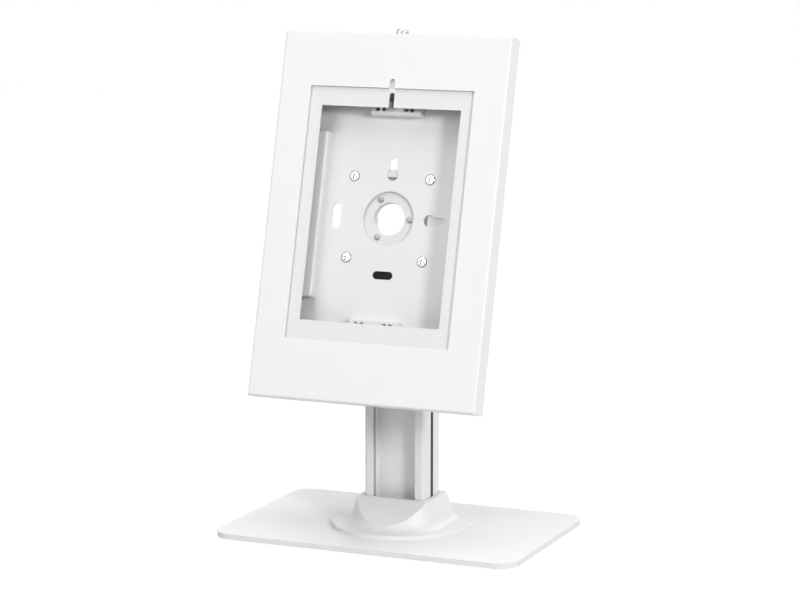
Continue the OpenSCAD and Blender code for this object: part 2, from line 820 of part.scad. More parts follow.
module keyhole()
    translate([keyhole_reach, 0]) {
        circle(keyhole_r);
        translate([0, -keyhole_slot_w / 2]) square([keyhole_slot - keyhole_slot_w / 2, keyhole_slot_w]);
        translate([keyhole_slot - keyhole_slot_w / 2, 0]) circle(keyhole_slot_w / 2);
    }

module tray_back_cuts() {
    circle(tray_hole_r);
    keyhole();
    rotate(90) keyhole();
    translate([-side_slot_reach, 0]) rotate(90) obround(side_slot_l, side_slot_w);
    translate([0, -lower_slot_reach]) obround(lower_slot_l, lower_slot_w);
}

module rear_tray() {
    lip_w = tray_w - 2 * lip_side;
    color(white) at_case() difference() {
        union() {
            translate([0, case_depth, -axis_rise]) mirror([0, 1, 0])
                folded_pan(tray_w, tray_h, case_depth - tray_rim, tray_t, cover_bend_r);
            translate([-lip_w / 2, tray_rim, tray_top - tray_t - lip_h])
                cube([lip_w, tray_t, lip_h + tray_t]);
        }
        plate(tray_inner - cut, tray_t + 2 * cut) tray_back_cuts();
        at_mount_holes()
            depth_rod(mount_screw[2] + slip_gap, tray_inner - cut, tray_t + 2 * cut);
        translate([0, 0, tray_top - tray_t - lip_h - cut]) linear_extrude(lip_h + tray_t + 2 * cut) {
            translate([0, lock_depth]) circle(lock_notch_r);
            translate([-lock_notch_r, 0]) square([2 * lock_notch_r, lock_depth]);
        }
    }
}

// A pressed support against the tray's back, with its face towards the tablet
module support(w, h)
    translate([0, support_front, 0])
        folded_pan(w, h, support_rise, support_t, support_bend_r);

module bracket_support(side)
    color(white) at_case()
        translate([0, 0, side * (bracket_support_reach + bracket_support_h / 2)]) difference() {
            support(bracket_support_w, bracket_support_h);
            slot_z = -side * (bracket_support_h / 2 - support_bend_r - support_slot_inset
                              - support_slot_w / 2);
            part_l = (support_slot_l - support_bar_w) / 2;
            part_x = (part_l + support_bar_w) / 2;
            for (s = [-1, 1], x = [-part_x, part_x])
                translate([s * support_slot_pitch / 2 + x, 0, slot_z])
                    plate(support_front - cut, support_t + 2 * cut)
                        obround(part_l, support_slot_w);
            mirror([0, 0, side < 0 ? 1 : 0])
                translate([-camera_room_w / 2, support_front - cut, 0])
                    cube([camera_room_w, support_rise + cut, bracket_support_h]);
        }

module upper_support() bracket_support(1);
module lower_support() bracket_support(-1);

module side_support(side)
    color(white) at_case()
        translate([side * (side_support_reach + side_support_w / 2), 0, 0])
            support(side_support_w, side_support_h);

module left_support() side_support(-1);
module right_support() side_support(1);

// Front cover

module window(w, h, notch_w, notch_h) {
    notch_end = h / 2 + notch_h - notch_w / 2;
    square([w, h], center = true);
    translate([-notch_w / 2, 0]) square([notch_w, notch_end]);
    translate([0, notch_end]) circle(notch_w / 2);
}

module at_hinges()
    for (s = [-1, 1])
        translate([s * hinge_reach, hinge_depth, hinge_z]) children();

module at_lock(z)
    translate([0, lock_depth, z]) children();

// Rolled ends of the cover's lower wall, on both sides of the tray's knuckle
module cover_knuckles() {
    knuckle_l = (hinge_l - hinge_knuckle_l) / 2 - free_gap;
    at_hinges() for (x = [-hinge_l / 2, hinge_l / 2 - knuckle_l]) difference() {
        union() {
            cross_rod(knuckle_r, x, knuckle_l);
            translate([x, cover_depth - hinge_depth - cover_t, -knuckle_r])
                cube([knuckle_l, hinge_depth - cover_depth + cover_t, cover_t]);
        }
        cross_rod(hinge_pin_r + run_fit, x - cut, knuckle_l + 2 * cut);
    }
}

module front_cover()
    color(white) at_case() {
        difference() {
            translate([0, 0, -axis_rise])
                folded_pan(cover_w, cover_h, cover_depth, cover_t, cover_bend_r);
            plate(-cut, cover_t + 2 * cut) window(window_w, window_h, window_notch_w, window_notch_h);
            at_lock(cover_top - cover_t - cut) cylinder(r = lock_r + run_fit, h = cover_t + 2 * cut);
        }
        for (p = insert_studs) translate([p[0], 0, p[1]]) {
            depth_rod(stud_collar_r, cover_t, insert_gap);
            depth_rod(stud_r, cover_t, stud_end - cover_t);
        }
        cover_knuckles();
    }

module hinge_leaves()
    color(steel) at_case() at_hinges() translate([-hinge_knuckle_l / 2, 0, 0]) difference() {
        union() {
            cross_rod(knuckle_r, 0, hinge_knuckle_l);
            translate([0, -hinge_leaf_l, tray_bottom - hinge_z - hinge_leaf_t])
                cube([hinge_knuckle_l, hinge_leaf_l, hinge_leaf_t]);
        }
        cross_rod(hinge_pin_r + run_fit, -cut, hinge_knuckle_l + 2 * cut);
    }

module hinge_pins()
    color(steel) at_case() at_hinges() cross_rod(hinge_pin_r, -hinge_l / 2, hinge_l);

module insert_frame()
    color(white) at_case() difference() {
        plate(insert_front, insert_t) difference() {
            rounded_rect(insert_w, insert_h, insert_corner_r);
            window(screen_w, screen_h, screen_notch_w, screen_notch_h);
        }
        for (p = insert_studs) translate([p[0], 0, p[1]])
            depth_rod(stud_r + slip_gap, insert_front - cut, insert_t + 2 * cut);
    }

module insert_nuts()
    color(steel) at_case() for (p = insert_studs)
        translate([p[0], 0, p[1]]) difference() {
            translate([0, insert_back, 0]) rotate([-90, 0, 0])
                cylinder(r = stud_nut_r, h = nut_t, $fn = 6);
            depth_rod(stud_r + run_fit, insert_back - cut, nut_t + 2 * cut);
        }

// Lock

module lock_body()
    color(steel) at_case() at_lock(cover_top) difference() {
        union() {
            translate([0, 0, -lock_l]) cylinder(r = lock_r, h = lock_l);
            rotate_extrude() {
                square([lock_rim_r, lock_dome_h / 2]);
                square([lock_face_r, lock_dome_h]);
                translate([lock_face_r, lock_dome_h / 2]) intersection() {
                    circle(lock_rim_r - lock_face_r);
                    square(lock_rim_r - lock_face_r);
                }
            }
        }
        translate([0, 0, -lock_l - cut])
            cylinder(r = lock_plug_r + run_fit, h = lock_l + lock_dome_h + 2 * cut);
    }

module lock_nut()
    color(steel) at_case() at_lock(cover_top - cover_t - nut_t) difference() {
        cylinder(r = lock_nut_r, h = nut_t, $fn = 6);
        translate([0, 0, -cut]) cylinder(r = lock_r + run_fit, h = nut_t + 2 * cut);
    }

cam_tail_r = 2;
cam_screw_r = 3.2;
cam_screw_crown_r = 2.6;
cam_screw_h = 1.4;

module lock_plug() {
    keyway = [0.9, 4.4];
    plug_recess = 0.6;
    color(steel) at_case() at_lock(cam_top) {
        difference() {
            cylinder(r = lock_plug_r, h = lock_l + lock_dome_h - plug_recess);
            translate([-keyway[0] / 2, -keyway[1] / 2, lock_l])
                cube([keyway[0], keyway[1], lock_dome_h + cut]);
        }
        translate([0, 0, -cam_t]) cylinder(r = cam_tail_r, h = cam_t);
    }
}

module lock_cam()
    color(steel) at_case() at_lock(cam_bottom) linear_extrude(cam_t) difference() {
        intersection() {
            circle(cam_reach);
            union() {
                circle(cam_w / 2);
                translate([-cam_w / 2, 0]) square([cam_w, cam_reach]);
            }
        }
        circle(cam_tail_r + run_fit);
    }

module cam_screw()
    color(steel) at_case() at_lock(cam_bottom) mirror([0, 0, 1])
        cylinder(r1 = cam_screw_r, r2 = cam_screw_crown_r, h = cam_screw_h);

rubber_feet();
base_plate();
base_screws();
base_collar();
column();
groove_strips();
cable_cover();
column_cap();
yoke();
yoke_screws();
tilt_bolts();
tilt_nuts();
friction_washers();
spring_washers();
tilt_stop_pins();
tilt_bracket();
slip_washers();
turn_stop_pin();
mount_plate();
rotation_hub();
hub_screws();
mount_screws();
rear_tray();
upper_support();
lower_support();
left_support();
right_support();
front_cover();
hinge_leaves();
hinge_pins();
insert_frame();
insert_nuts();
lock_body();
lock_nut();
lock_plug();
lock_cam();
cam_screw();
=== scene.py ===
import json
import math
import bmesh
import bpy
from mathutils import Matrix, Vector


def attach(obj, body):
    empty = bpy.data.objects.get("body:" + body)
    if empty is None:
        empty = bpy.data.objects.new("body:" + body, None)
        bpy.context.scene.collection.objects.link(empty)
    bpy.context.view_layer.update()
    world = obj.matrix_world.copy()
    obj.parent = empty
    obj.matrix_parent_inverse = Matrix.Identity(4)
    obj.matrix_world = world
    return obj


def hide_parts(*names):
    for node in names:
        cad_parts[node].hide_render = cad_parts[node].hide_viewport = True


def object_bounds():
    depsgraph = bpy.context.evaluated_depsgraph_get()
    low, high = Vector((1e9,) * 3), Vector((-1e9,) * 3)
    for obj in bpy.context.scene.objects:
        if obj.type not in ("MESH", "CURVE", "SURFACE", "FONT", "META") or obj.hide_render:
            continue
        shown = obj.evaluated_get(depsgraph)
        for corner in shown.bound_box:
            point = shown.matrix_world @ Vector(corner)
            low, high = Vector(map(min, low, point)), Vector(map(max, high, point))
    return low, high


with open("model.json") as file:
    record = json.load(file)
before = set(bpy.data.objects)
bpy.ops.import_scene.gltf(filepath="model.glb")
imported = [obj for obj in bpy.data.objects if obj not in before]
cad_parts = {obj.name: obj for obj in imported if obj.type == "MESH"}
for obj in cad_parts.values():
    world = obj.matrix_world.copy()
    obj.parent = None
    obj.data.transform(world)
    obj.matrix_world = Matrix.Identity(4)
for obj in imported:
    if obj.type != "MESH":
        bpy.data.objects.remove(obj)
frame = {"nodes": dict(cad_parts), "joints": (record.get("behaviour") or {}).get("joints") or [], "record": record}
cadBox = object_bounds()
nodes = frame["nodes"]
joints = {j["name"]: j for j in frame["joints"]}
slotOf = {s["node"]: s["material_slot"] for s in frame["record"]["subparts"]}
bodyOf = {n: b for b, members in frame["record"]["behaviour"]["bodies"].items() for n in members}
mm = 0.001
sides = (-1, 1)

# the case leans with the screen: right, out of the screen, and up along it
outward = Vector(joints["case_rotation"]["axis"]).normalized()
right = Vector((1, 0, 0))
up = outward.cross(right)
rise = Vector((0, 0, 1))
pivot = Vector(joints["head_tilt"]["pos_m"])
headReach = 56                              # from the pivot to the screen's face


# a place in the case: to the right, behind the screen's face, and above the mount's axis
def inCase(x, depth, height):
    return pivot + (x * right - (depth - headReach) * outward + height * up) * mm


# camera

cameraView = {
    "azimuth": 23.32,                       # degrees round the stand, from straight in front
    "elevation": 9.44,                      # degrees above the desk
    "target": (-0.27 * mm, 0, 218.95 * mm),
    "distance": 2545.1 * mm,
    "lens": 124.09,
    "sensor": 36,
}


def makeCamera(c):
    data = bpy.data.cameras.new("camera")
    data.sensor_width = c["sensor"]
    data.lens = c["lens"]
    camera = bpy.data.objects.new("camera", data)
    bpy.context.scene.collection.objects.link(camera)
    turn, lift = math.radians(c["azimuth"]), math.radians(c["elevation"])
    back = Vector((math.sin(turn) * math.cos(lift), -math.cos(turn) * math.cos(lift), math.sin(lift)))
    camera.location = Vector(c["target"]) + back * c["distance"]
    camera.rotation_euler = (-back).to_track_quat("-Z", "Y").to_euler()
    bpy.context.scene.camera = camera


makeCamera(cameraView)
print("camera: set")


# shader maths

class Wire:
    def __init__(self, finish, socket):
        self.finish = finish
        self.socket = socket

    def math(self, operation, first, second):
        return self.finish.node("ShaderNodeMath", {"operation": operation}, {0: first, 1: second})

    def __add__(self, other):
        return self.math("ADD", self, other)

    def __radd__(self, other):
        return self.math("ADD", other, self)

    def __sub__(self, other):
        return self.math("SUBTRACT", self, other)

    def __rsub__(self, other):
        return self.math("SUBTRACT", other, self)

    def __mul__(self, other):
        return self.math("MULTIPLY", self, other)

    def __rmul__(self, other):
        return self.math("MULTIPLY", other, self)

    def atMost(self, other):
        return self.math("MINIMUM", self, other)

    # noise lies about a half: how far it is from that, times an amount
    def swing(self, amount):
        return (self - 0.5) * amount


class Finish:
    def __init__(self, name, tree=None):
        if tree is None:
            self.material = bpy.data.materials.new(name)
            self.material.use_nodes = True
            tree = self.material.node_tree
        self.tree = tree
        self.tree.nodes.clear()

    # any node: its type, its settings, then the values or links of its sockets
    def node(self, kind, settings=None, sockets=None, out=0):
        made = self.tree.nodes.new(kind)
        for name, value in (settings or {}).items():
            if name == "stops":
                self.setStops(made.color_ramp, value)
            else:
                setattr(made, name, value)
        for name, value in (sockets or {}).items():
            if isinstance(value, Wire):
                self.tree.links.new(value.socket, made.inputs[name])
            elif value is not None:
                made.inputs[name].default_value = value
        return Wire(self, made.outputs[out]) if made.outputs else made

    def setStops(self, ramp, stops):
        while len(ramp.elements) < len(stops):
            ramp.elements.new(1)
        for element, (position, level) in zip(ramp.elements, stops):
            element.position = position
            element.color = grey(level)

    def vector(self, operation, first, second, out=0):
        return self.node("ShaderNodeVectorMath", {"operation": operation}, {0: first, 1: second}, out)

    # noise in the object's own coordinates: a feature is one size, or x by y by z millimetres
    def noise(self, size, detail=2, roughness=0.5):
        sizes = size if isinstance(size, tuple) else (size, size, size)
        place = self.node("ShaderNodeTexCoord", out="Object")
        stretched = self.vector("DIVIDE", place, tuple(s * mm for s in sizes))
        return self.node("ShaderNodeTexNoise", None,
                         {"Vector": stretched, "Scale": 1, "Detail": detail, "Roughness": roughness})

    # rings round an axis, one about every size
    def rings(self, size, centre, axis):
        place = self.node("ShaderNodeTexCoord", out="Object")
        across = self.vector("CROSS_PRODUCT", self.vector("SUBTRACT", place, tuple(centre)), tuple(axis))
        reach = self.vector("LENGTH", across, None, out="Value")
        return self.node("ShaderNodeTexNoise", {"noise_dimensions": "1D"},
                         {"W": reach * (1 / (size * mm)), "Scale": 1, "Detail": 2})

    def ramp(self, value, stops):
        return self.node("ShaderNodeValToRGB", {"stops": stops}, {"Fac": value})

    # the share and the two colours are the first, seventh and eighth sockets, the mix the third output
    def between(self, share, first, second):
        return self.node("ShaderNodeMix", {"data_type": "RGBA"}, {0: share, 6: first, 7: second}, out=2)

    def bump(self, height, depth):
        return self.node("ShaderNodeBump", None, {"Height": height, "Distance": depth * mm})

    def output(self, shader, kind="ShaderNodeOutputMaterial"):
        self.node(kind, None, {"Surface": shader})

    def surface(self, sockets):
        self.output(self.node("ShaderNodeBsdfPrincipled", None, sockets))
        return self.material


def grey(level):
    return (level, level, level, 1)


# finishes: sizes and depths in millimetres, and how much each noise moves the roughness

whitePaint = {"pale": 0.85, "deep": 0.83, "cloud": 70, "peel": 1.1, "peelDepth": 0.010, "fine": 0.275,
              "fineShare": 0.3, "rough": 0.40, "cloudRough": 0.12, "peelRough": 0.1, "ior": 1.5}
# a darker copy of the white coat for the case's inside parts: painted shade
interiorShadePaint = {**whitePaint, "pale": 0.775, "deep": 0.755}
# a still darker copy for the mount ring, hub and side supports: deeper painted shade
fittingShadePaint = {**whitePaint, "pale": 0.715, "deep": 0.695}
basePaint = {**whitePaint, "pale": 0.82, "deep": 0.80}
interiorShadeNodes = ("rear_tray", "insert_frame", "upper_support", "lower_support")
fittingShadeNodes = ("mount_plate", "rotation_hub", "left_support", "right_support")


# powder coat: broad clouds and an orange peel
def makeWhitePaint(name, p):
    f = Finish(name)
    cloud = f.noise(p["cloud"], detail=3)
    peel = f.noise(p["peel"], roughness=0.6)
    fine = f.noise(p["fine"], detail=1)
    return f.surface({
        "Base Color": f.between(cloud, grey(p["deep"]), grey(p["pale"])),
        "Roughness": p["rough"] + cloud.swing(p["cloudRough"]) + peel.swing(p["peelRough"]),
        "Normal": f.bump(peel + fine * p["fineShare"], p["peelDepth"]),
        "IOR": p["ior"],
    })


columnFinish = {"pale": 0.805, "deep": 0.775, "line": (0.5, 0.5, 160), "lineDepth": 0.012, "broad": (8, 8, 300),
                "speck": 0.8, "speckShare": 0.25, "rough": 0.36, "lineRough": 0.16, "broadRough": 0.08,
                "ior": 1.5}


# coated extrusion: faint lines along the column
def makeColumnFinish(p):
    f = Finish("coated_extrusion")
    lines = f.noise(p["line"], roughness=0.6)
    broad = f.noise(p["broad"])
    speck = f.noise(p["speck"], detail=1)
    return f.surface({
        "Base Color": f.between(broad, grey(p["deep"]), grey(p["pale"])),
        "Roughness": p["rough"] + lines.swing(p["lineRough"]) + broad.swing(p["broadRough"]),
        "Normal": f.bump(lines + speck * p["speckShare"], p["lineDepth"]),
        "IOR": p["ior"],
    })


whitePlastic = {"pale": 0.815, "deep": 0.79, "grain": 0.45, "grainDepth": 0.014, "flow": (30, 30, 12),
                "rough": 0.44, "grainRough": 0.2, "ior": 1.48}


# fine eroded texture of a mould
def makeWhitePlastic(p):
    f = Finish("white_moulding")
    grain = f.noise(p["grain"], detail=3, roughness=0.7)
    flow = f.noise(p["flow"])
    return f.surface({
        "Base Color": f.between(flow, grey(p["deep"]), grey(p["pale"])),
        "Roughness": p["rough"] + grain.swing(p["grainRough"]),
        "Normal": f.bump(grain, p["grainDepth"]),
        "IOR": p["ior"],
    })


blackPlastic = {"pale": 0.034, "deep": 0.020, "grain": 0.5, "grainDepth": 0.02, "grainShare": 0.4, "bloom": 9,
                "bloomShare": 0.6, "rough": 0.5, "bloomRough": 0.16}
blackRubber = {**blackPlastic, "pale": 0.050, "deep": 0.026, "grain": 0.35, "grainDepth": 0.03, "rough": 0.78}


def makeBlack(name, p):
    f = Finish(name)
    grain = f.noise(p["grain"], detail=3, roughness=0.65)
    bloom = f.noise(p["bloom"], detail=3)
    mottle = bloom * p["bloomShare"] + grain * p["grainShare"]
    return f.surface({
        "Base Color": f.between(mottle, grey(p["deep"]), grey(p["pale"])),
        "Roughness": p["rough"] + bloom.swing(p["bloomRough"]),
        "Normal": f.bump(grain, p["grainDepth"]),
    })


zincSteel = {"blue": (0.60, 0.62, 0.65, 1), "straw": (0.67, 0.655, 0.61, 1), "spangle": 5,
             "spangleStops": [(0.35, 0), (0.7, 1)], "grain": 0.25, "grainShare": 0.4,
             "scratch": (0.18, 6, 6), "scratchStops": [(0.60, 0), (0.68, 1)], "scratchDepth": 0.006,
             "rough": 0.34, "cloudRough": 0.2, "grainRough": 0.08, "scratchRough": 0.08}


# zinc plate: pale blue and straw clouds, a fine grain and handling scratches
def makeZinc(p):
    f = Finish("zinc_plate")
    cloud = f.noise(p["spangle"], detail=3, roughness=0.6)
    grain = f.noise(p["grain"])
    scratch = f.ramp(f.noise(p["scratch"], roughness=0.6), p["scratchStops"])
    return f.surface({
        "Base Color": f.between(f.ramp(cloud, p["spangleStops"]), p["blue"], p["straw"]),
        "Metallic": 1,
        "Roughness": p["rough"] + cloud.swing(p["cloudRough"]) + grain.swing(p["grainRough"])
        + scratch * p["scratchRough"],
        "Normal": f.bump(grain * p["grainShare"] - scratch, p["scratchDepth"]),
    })


# phosphated steel under a film of oil, which also paints shade into dark screw recesses, and nickel plate
darkSteel = {"pale": (0.40, 0.40, 0.41, 1), "deep": (0.27, 0.27, 0.28, 1), "cloud": 2.5, "grain": 0.3,
             "grainDepth": 0.006, "rough": 0.26, "cloudRough": 0.14, "grainRough": 0.1}
brightNickel = {"pale": (0.96, 0.955, 0.945, 1), "deep": (0.91, 0.905, 0.89, 1), "cloud": 3, "grain": 0.2,
                "grainDepth": 0.002, "rough": 0.16, "cloudRough": 0.1, "grainRough": 0.06}


def makeMetal(name, p):
    f = Finish(name)
    cloud = f.noise(p["cloud"], detail=3)
    grain = f.noise(p["grain"])
    return f.surface({
        "Base Color": f.between(cloud, p["deep"], p["pale"]),
        "Metallic": 1,
        "Roughness": p["rough"] + cloud.swing(p["cloudRough"]) + grain.swing(p["grainRough"]),
        "Normal": f.bump(grain, p["grainDepth"]),
    })


nylonFinish = {"pale": (0.84, 0.83, 0.79, 1), "deep": (0.78, 0.765, 0.71, 1), "cloud": 6, "grain": 0.6,
               "grainDepth": 0.01, "rough": 0.46, "grainRough": 0.15, "glow": 0.15, "glowDepth": 0.8}


def makeNylon(p):
    f = Finish("natural_nylon")
    cloud = f.noise(p["cloud"], detail=3)
    grain = f.noise(p["grain"])
    return f.surface({
        "Base Color": f.between(cloud, p["deep"], p["pale"]),
        "Roughness": p["rough"] + grain.swing(p["grainRough"]),
        "Normal": f.bump(grain, p["grainDepth"]),
        "Subsurface Weight": p["glow"],
        "Subsurface Scale": p["glowDepth"] * mm,
    })


lockPlace = {"depth": 10.8, "top": 166.75}  # on the case's top edge, as the cover's hole has it
lockNickel = {"pale": (0.55, 0.55, 0.545, 1), "deep": (0.41, 0.41, 0.405, 1), "turning": 0.22,
              "turningDepth": 0.004, "smear": 3, "rough": 0.2, "turningRough": 0.14, "smearRough": 0.1}


# satin nickel over turned brass: rings round the lock's axis
def makeLockNickel(p):
    f = Finish("lock_nickel")
    turning = f.rings(p["turning"], inCase(0, lockPlace["depth"], lockPlace["top"]), up)
    smear = f.noise(p["smear"], detail=3)
    return f.surface({
        "Base Color": f.between(smear, p["deep"], p["pale"]),
        "Metallic": 1,
        "Roughness": p["rough"] + turning.swing(p["turningRough"]) + smear.swing(p["smearRough"]),
        "Normal": f.bump(turning, p["turningDepth"]),
    })


finishes = {
    "white_paint": makeWhitePaint("white_powder_coat", whitePaint),
    "column_finish": makeColumnFinish(columnFinish),
    "white_plastic": makeWhitePlastic(whitePlastic),
    "black_plastic": makeBlack("black_moulding", blackPlastic),
    "black_rubber": makeBlack("black_rubber", blackRubber),
    "zinc_steel": makeZinc(zincSteel),
    "dark_steel": makeMetal("phosphated_steel_and_recess_shade", darkSteel),
    "bright_nickel": makeMetal("bright_nickel", brightNickel),
    "nylon": makeNylon(nylonFinish),
    "lock_metal": makeLockNickel(lockNickel),
}
interiorShadeFinish = makeWhitePaint("white_coat_painted_interior_shade", interiorShadePaint)
fittingShadeFinish = makeWhitePaint("white_coat_painted_fitting_shade", fittingShadePaint)
finishOf = {name: finishes[slotOf[name]] for name in nodes}
# the case's inside parts take the coat with painted shade
finishOf.update({name: interiorShadeFinish for name in interiorShadeNodes})
# the mount ring, hub and side supports take the deeper painted shade
finishOf.update({name: fittingShadeFinish for name in fittingShadeNodes})
finishOf["base_plate"] = makeWhitePaint("white_base_coat", basePaint)
for name, node in nodes.items():
    node.data.materials.clear()
    node.data.materials.append(finishOf[name])
print("finishes: %d" % len(finishes))


# mesh tools

crease = 32                                 # degrees from which an edge counts as sharp
cadMesh = {"weld": 0.004, "flat": 0.5}      # points closer than this are one, faces within this angle too


# rings of points joined into a skin: a ring of one point is a pole
def skin(rings, closed=False, capped=False):
    bm = bmesh.new()
    loops = [[bm.verts.new(p) for p in ring] for ring in rings]
    if capped:
        bm.faces.new(loops[0])
        bm.faces.new(loops[-1])
    if closed:
        loops.append(loops[0])
    for low, high in zip(loops, loops[1:]):
        n = max(len(low), len(high))
        for i in range(n):
            j = (i + 1) % n
            corners = [low[i % len(low)], low[j % len(low)], high[j % len(high)], high[i % len(high)]]
            corners = list(dict.fromkeys(corners))
            if len(corners) > 2:
                bm.faces.new(corners)
    bmesh.ops.recalc_face_normals(bm, faces=bm.faces[:])
    return bm


def circle(r, z, steps):
    if r == 0:
        return [Vector((0, 0, z))]
    angles = [2 * math.pi * i / steps for i in range(steps)]
    return [Vector((r * math.cos(a), r * math.sin(a), z)) for a in angles]


def circles(profile, steps):
    return [circle(r, z, steps) for r, z in profile]


# a prism along z whose second end is scaled
def tapered(outline, start, end, scale=1):
    return skin([[Vector((x, y, start)) for x, y in outline],
                 [Vector((x * scale, y * scale, end)) for x, y in outline]], capped=True)


# a ring at one height: a box with round corners, drawn in by an inset
def roundedBox(wide, high, corner, inset, z, steps=8):
    ring = []
    for k, (sx, sy) in enumerate(((1, 1), (-1, 1), (-1, -1), (1, -1))):
        middle = Vector((sx * (wide / 2 - corner), sy * (high / 2 - corner), z))
        for i in range(steps + 1):
            a = (k + i / steps) * math.pi / 2
            ring.append(middle + (corner - inset) * Vector((math.cos(a), math.sin(a), 0)))
    return ring


def rectangle(x0, y0, x1, y1):
    return [(x0, y0), (x1, y0), (x1, y1), (x0, y1)]


def obround(length, width, steps=10):
    points = []
    for s in (1, -1):
        for i in range(steps + 1):
            a = (i / steps - 0.5) * math.pi
            points.append((s * ((length - width) / 2 + width / 2 * math.cos(a)), s * width / 2 * math.sin(a)))
    return points


def crossOutline(reach, half):
    quarter = [(reach, -half), (reach, half), (half, half)]
    points = []
    for k in range(4):
        c, s = round(math.cos(k * math.pi / 2)), round(math.sin(k * math.pi / 2))
        points += [(c * x - s * y, s * x + c * y) for x, y in quarter]
    return points


def hexOutline(corner):
    return [(corner * math.cos(k * math.pi / 3), corner * math.sin(k * math.pi / 3)) for k in range(6)]


def toObject(bm, name):
    mesh = bpy.data.meshes.new(name)
    bm.to_mesh(mesh)
    bm.free()
    made = bpy.data.objects.new(name, mesh)
    bpy.context.scene.collection.objects.link(made)
    return made


# cuts a tool out of a shape; the faces of a dark cut take the second of two finishes, dark steel as painted shade
# in the recess
def cutAway(shape, tool, dark=False):
    for face in tool.faces:
        face.material_index = int(dark)
    body, cutter = toObject(shape, "cut_body"), toObject(tool, "cut_tool")
    for used in (body, cutter):
        for slot in ("bright_nickel", "dark_steel"):
            used.data.materials.append(finishes[slot])
    step = body.modifiers.new("cut", "BOOLEAN")
    step.operation = "DIFFERENCE"
    step.solver = "EXACT"
    step.object = cutter
    bpy.context.view_layer.update()
    result = bmesh.new()
    result.from_mesh(body.evaluated_get(bpy.context.evaluated_depsgraph_get()).to_mesh())
    for used in (body, cutter):
        mesh = used.data
        bpy.data.objects.remove(used)
        bpy.data.meshes.remove(mesh)
    return result


# a frame with its z along an axis, turned about it
def along(origin, axis, turn=0, side=right):
    z = axis.normalized()
    x = (side - z * side.dot(z)).normalized()
    frameHere = Matrix((x, z.cross(x), z)).transposed().to_4x4()
    frameHere.translation = origin
    return frameHere @ Matrix.Rotation(math.radians(turn), 4, "Z") @ Matrix.Scale(mm, 4)


# a frame that isn't turned
def upright(x, y, z):
    return Matrix.Translation(Vector((x, y, z)) * mm) @ Matrix.Scale(mm, 4)


# shapes as one mesh, each at its place
def joined(placed):
    whole = bmesh.new()
    for shape, place in placed:
        mesh = bpy.data.meshes.new("pattern")
        shape.to_mesh(mesh)
        shape.free()
        first = len(whole.verts)
        whole.from_mesh(mesh)
        whole.verts.ensure_lookup_table()
        bmesh.ops.transform(whole, matrix=place, verts=whole.verts[first:])
        bpy.data.meshes.remove(mesh)
    return whole


def copies(shape, places):
    whole = joined([(shape.copy(), place) for place in places])
    shape.free()
    return whole


# copies of one shape at several places, as one piece that stands for a node
def placePieces(node, shape, places, soft=0.0):
    return finishPiece(node, copies(shape, places), soft)


def finishPiece(node, bm, soft=0.0, segments=2, angle=crease):
    made = ridePiece(node + "_detailed", bm, bodyOf[node], finishOf[node], soft, segments, angle)
    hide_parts(node)
    return made


# a piece on a body, with its own finish and dark steel as painted shade on the faces of dark cuts
def ridePiece(name, bm, body, finish, soft=0.0, segments=2, angle=crease):
    for face in bm.faces:
        face.smooth = True
    for edge in bm.edges:
        edge.smooth = edge.calc_face_angle(0) < math.radians(angle)
    made = toObject(bm, name)
    made.data.materials.append(finish)
    if any(face.material_index for face in made.data.polygons):
        made.data.materials.append(finishes["dark_steel"])
    if soft:
        softenEdges(made, soft, segments)
    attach(made, body)
    return made


def softenEdges(piece, width, segments=2):
    bevel = piece.modifiers.new("soft_edges", "BEVEL")
    bevel.width = width * mm
    bevel.segments = segments
    bevel.limit_method = "ANGLE"
    bevel.angle_limit = math.radians(crease)
    piece.modifiers.new("face_normals", "WEIGHTED_NORMAL")


# screws

thread = {"depth": 0.45, "rows": 4}         # share of the pitch, and rows in a turn
seatGap = 0.02                              # between a head's seat and its thread
overcut = 0.3                               # how far a recess's tool starts above the head
recessTaper = {"cross": 0.5, "hexagon": 0.98}

# crowns from the top to the seat: shares of a head's radius and of its height
panCrown = [(0, 1), (0.3, 0.99), (0.55, 0.95), (0.74, 0.86), (0.88, 0.7), (0.97, 0.46), (1, 0.22),
            (0.985, 0.04), (0.96, 0)]
boltCrown = [(0, 1), (0.86, 1), (0.93, 0.97), (0.98, 0.9), (1, 0.78), (1, 0.12), (0.98, 0.03), (0.95, 0)]


# rows of a thread between two heights: its ridge climbs one pitch a turn
def threadRows(r, pitch, start, end, steps):
    rows = []
    count = max(2, round((end - start) / pitch * thread["rows"]))
    depth = thread["depth"] * pitch
    for k in range(count + 1):
        z = start + (end - start) * k / count
        fade = min(1, (z - start) / pitch, (end - z) / pitch)
        row = []
        for i in range(steps):
            phase = (z / pitch - i / steps) % 1
            here = r - depth * fade * abs(2 * phase - 1)
            angle = 2 * math.pi * i / steps
            row.append(Vector((here * math.cos(angle), here * math.sin(angle), z)))
        rows.append(row)
    return rows


# a threaded shank and its tip, which has a length and a share of the shank's radius
def shankRings(s, start):
    tip, share = s["tip"]
    rows = threadRows(s["shank"], s["pitch"], start + seatGap, s["length"] - tip, s["steps"])
    return rows + circles([(share * s["shank"], s["length"]), (0, s["length"])], s["steps"])


def crownedScrew(s, crown):
    head = circles([(a * s["head"], -b * s["height"]) for a, b in crown], s["steps"])
    return recessed(skin(head + shankRings(s, 0)), s, -s["height"])


def countersunkScrew(s):
    h = s["height"]
    face = [(a * s["head"], z) for a, z in s["face"]] + [(s["shank"], h)]
    return recessed(skin(circles(face, s["steps"]) + shankRings(s, h)), s, 0)


# a cross or a hexagon sunk in the head, along z or against it, with painted shade on its faces if dark
def recessed(shape, s, top, inward=1):
    kind = s["recess"]
    outline = crossOutline(s["reach"], s["wing"]) if kind == "cross" else hexOutline(s["reach"])
    tool = tapered(outline, top - inward * overcut, top + inward * s["deep"], recessTaper[kind])
    return cutAway(shape, tool, s.get("dark", False))
